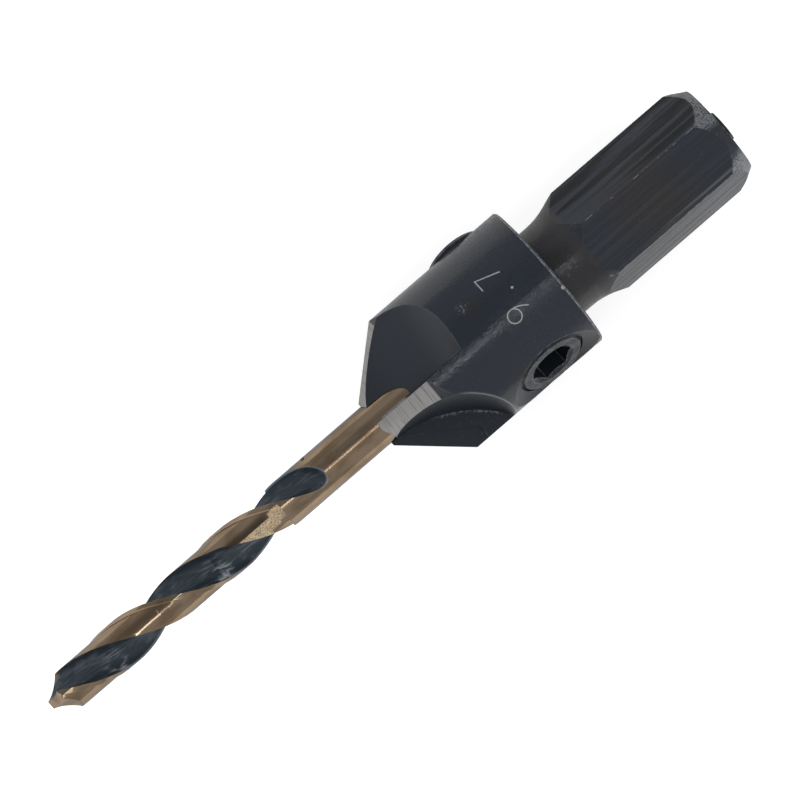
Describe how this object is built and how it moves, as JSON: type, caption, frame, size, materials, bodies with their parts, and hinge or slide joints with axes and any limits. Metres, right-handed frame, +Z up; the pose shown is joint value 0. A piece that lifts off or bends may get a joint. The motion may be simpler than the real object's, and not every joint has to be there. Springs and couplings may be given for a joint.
{
  "type": "countersink bit",
  "caption": "Fluted steel countersink with a hexagonal shank, and a twist drill held in its bore by two cross screws; it bores and countersinks a screw hole in one pass.",
  "frame": {"origin": "on the surface the tool lies on, midway between the drill's tip and the shank's end, below the tool axis", "axes": "+X along the tool axis towards the shank's end; +Z up, away from the surface the tool lies on"},
  "size_m": [0.0518, 0.0101, 0.0097],
  "materials": {
    "blackened_steel": "black oxide, satin, with ground lands",
    "bronzed_drill_steel": "bronze temper on the lands, dark flutes",
    "black_screw_steel": "black, rims worn bright"
  },
  "bodies": {
    "root": {"countersink_body": "blackened_steel", "pilot_drill": "bronzed_drill_steel", "tight_set_screw": "black_screw_steel", "raised_set_screw": "black_screw_steel"}
  },
  "joints": []
}
